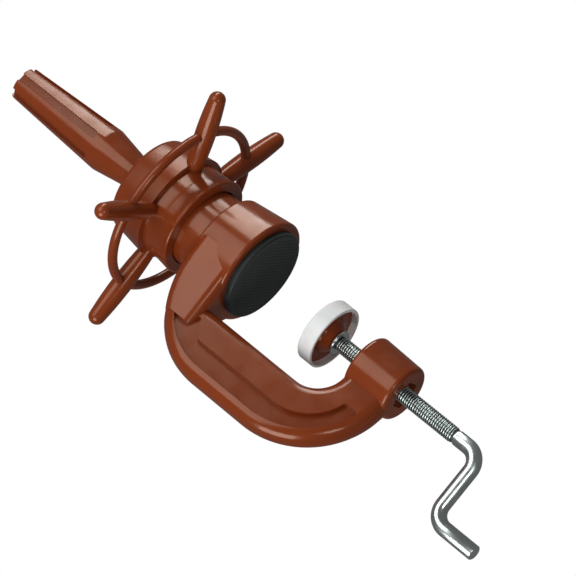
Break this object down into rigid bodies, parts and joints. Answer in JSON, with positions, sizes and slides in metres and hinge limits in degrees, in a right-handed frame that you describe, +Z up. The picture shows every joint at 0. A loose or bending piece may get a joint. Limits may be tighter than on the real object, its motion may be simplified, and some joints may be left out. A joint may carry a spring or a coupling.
{
  "type": "table clamp with swivelling post",
  "caption": "C-clamp with a cranked screw, a swivel foot and a rubber pad, whose hand wheel locks a tilting, fluted, tapered post",
  "frame": {"origin": "centre of the face of the jaw pad on the fixed jaw", "axes": "+Z up the post and away from the work, +X out of the throat, so the frame's spine is at negative X"},
  "size_m": [0.1284, 0.126, 0.3243],
  "materials": {
    "moulded_plastic": "glossy",
    "pad_rubber": "matt, fine woven texture",
    "zinc_steel": "bright zinc plate",
    "cap_plastic": "soft satin",
    "inner_nylon": "satin"
  },
  "bodies": {
    "frame": {"c_frame": "moulded_plastic", "jaw_pad": "pad_rubber", "captive_nut": "zinc_steel"},
    "lower_cup": {"ball_seat": "inner_nylon"},
    "post_body": {"post": "moulded_plastic", "pivot_ball": "moulded_plastic", "ball_screw": "zinc_steel"},
    "upper_ring": {"clamp_ring": "inner_nylon"},
    "hand_wheel": {"wheel_hub": "moulded_plastic", "grip_ring": "moulded_plastic", "spoke_1": "moulded_plastic", "spoke_2": "moulded_plastic", "spoke_3": "moulded_plastic", "spoke_4": "moulded_plastic", "spoke_5": "moulded_plastic"},
    "ball_end": {"swivel_ball": "zinc_steel"},
    "screw": {"clamp_screw": "zinc_steel", "journal_clip": "zinc_steel"},
    "washer": {"foot_washer": "zinc_steel"},
    "foot": {"foot_disc": "moulded_plastic", "ball_retainer": "inner_nylon", "foot_cap": "cap_plastic"}
  },
  "joints": [
    {"name": "post_turn", "type": "hinge", "parent": "frame", "child": "lower_cup", "pos_m": [0, 0, 0.057], "axis": [0, 0, 1], "continuous": true},
    {"name": "post_tilt", "type": "hinge", "parent": "lower_cup", "child": "post_body", "pos_m": [0, 0, 0.057], "axis": [1, 0, 0], "range_deg": [-22, 22]},
    {"name": "wheel_lift", "type": "slide", "parent": "frame", "child": "upper_ring", "axis": [0, 0, 1], "range_m": [0, 0.002]},
    {"name": "wheel_turn", "type": "hinge", "parent": "upper_ring", "child": "hand_wheel", "pos_m": [0, 0, 0.0555], "axis": [0, 0, 1], "range_deg": [-1, 361]},
    {"name": "foot_travel", "type": "slide", "parent": "frame", "child": "ball_end", "axis": [0, 0, 1], "range_m": [-0.01375, 0.03]},
    {"name": "screw_turn", "type": "hinge", "parent": "ball_end", "child": "screw", "pos_m": [-0.0023, 0, -0.0456], "axis": [0, 0, 1], "range_deg": [-3961, 8641]},
    {"name": "foot_turn", "type": "hinge", "parent": "ball_end", "child": "washer", "pos_m": [-0.0023, 0, -0.0456], "axis": [0, 0, 1], "continuous": true},
    {"name": "foot_tilt", "type": "hinge", "parent": "washer", "child": "foot", "pos_m": [-0.0023, 0, -0.0456], "axis": [1, 0, 0], "range_deg": [-8, 8]}
  ],
  "couplings": [
    {"joint": "wheel_turn", "follows": "wheel_lift", "rad_per_m": 3141.6},
    {"joint": "screw_turn", "follows": "foot_travel", "rad_per_m": 5026.5}
  ]
}
